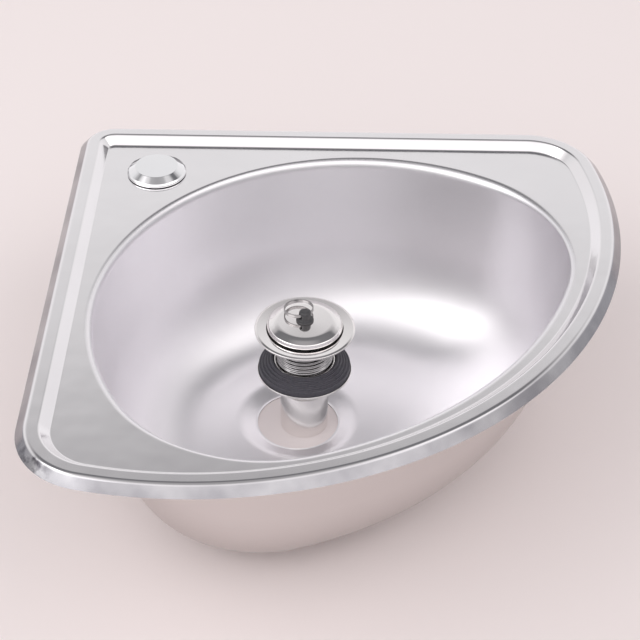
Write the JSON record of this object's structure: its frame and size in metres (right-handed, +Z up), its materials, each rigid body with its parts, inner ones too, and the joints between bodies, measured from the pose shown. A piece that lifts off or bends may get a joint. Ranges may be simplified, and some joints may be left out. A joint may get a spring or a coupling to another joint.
{
  "type": "corner sink",
  "caption": "Quarter-round corner sink of pressed steel with folded rim, deep bowl, capped tap hole and a screwed waste with lift-out stopper.",
  "frame": {"origin": "centre of the sink's box in plan, on the surface that it stands on", "axes": "+Z up out of the bowl; the straight sides run along X at +Y and along Y at -X, and the right-angled corner is at -X, +Y"},
  "size_m": [0.4, 0.4, 0.15],
  "materials": {
    "basin_steel": "satin, pressed sheet",
    "cap_chrome": "mirror polished",
    "polished_steel": "polished",
    "pipe_steel": "fine turned",
    "plain_steel": "plain zinc grey",
    "gasket_rubber": "matt, moulded",
    "black_rubber": "matt",
    "knob_plastic": "moulded"
  },
  "bodies": {
    "sink": {"basin_shell": "basin_steel", "tap_cap": "cap_chrome", "tap_gasket": "black_rubber", "tap_stud": "plain_steel"},
    "tap_clamp": {"tap_clamp_pad": "black_rubber", "tap_clamp_plate": "plain_steel"},
    "tap_nut": {"tap_wing_nut": "plain_steel"},
    "waste_tail": {"tail_pipe": "pipe_steel", "tail_collar": "pipe_steel", "clamp_gasket": "gasket_rubber"},
    "waste_seal": {"flange_seal": "black_rubber"},
    "waste_top": {"waste_flange": "polished_steel", "waste_neck": "pipe_steel", "strainer_plate": "plain_steel"},
    "stopper": {"stopper_plug": "black_rubber", "stopper_cap": "polished_steel", "stopper_knob": "knob_plastic", "stopper_screw": "plain_steel", "stopper_washer": "plain_steel"},
    "ring": {"pull_ring": "polished_steel"}
  },
  "joints": [
    {"name": "tap_clamp_drop", "type": "slide", "parent": "sink", "child": "tap_clamp", "axis": [0, 0, -1], "range_m": [0, 0.008]},
    {"name": "tap_nut_turn", "type": "hinge", "parent": "tap_clamp", "child": "tap_nut", "pos_m": [-0.13883, 0.14209, 0.135], "axis": [0, 0, -1], "range_deg": [0, 2900]},
    {"name": "waste_lift", "type": "slide", "parent": "sink", "child": "waste_tail", "axis": [0, 0, 1], "range_m": [0, 0.2]},
    {"name": "seal_travel", "type": "slide", "parent": "waste_tail", "child": "waste_seal", "axis": [0, 0, 1], "range_m": [-0.017, 0.003]},
    {"name": "flange_turn", "type": "hinge", "parent": "waste_seal", "child": "waste_top", "pos_m": [-0.02568, 0.02533, 0.075], "axis": [0, 0, 1], "range_deg": [-1850, 320]},
    {"name": "stopper_lift", "type": "slide", "parent": "waste_top", "child": "stopper", "axis": [0, 0, 1], "range_m": [0, 0.08]},
    {"name": "ring_swing", "type": "hinge", "parent": "stopper", "child": "ring", "pos_m": [-0.02568, 0.02533, 0.1023], "axis": [0.8829, 0.4695, 0], "range_deg": [0, 150]}
  ],
  "couplings": [
    {"joint": "seal_travel", "follows": "flange_turn", "m_per_rad": 0.0005252},
    {"joint": "tap_nut_turn", "follows": "tap_clamp_drop", "rad_per_m": 6283.2}
  ]
}
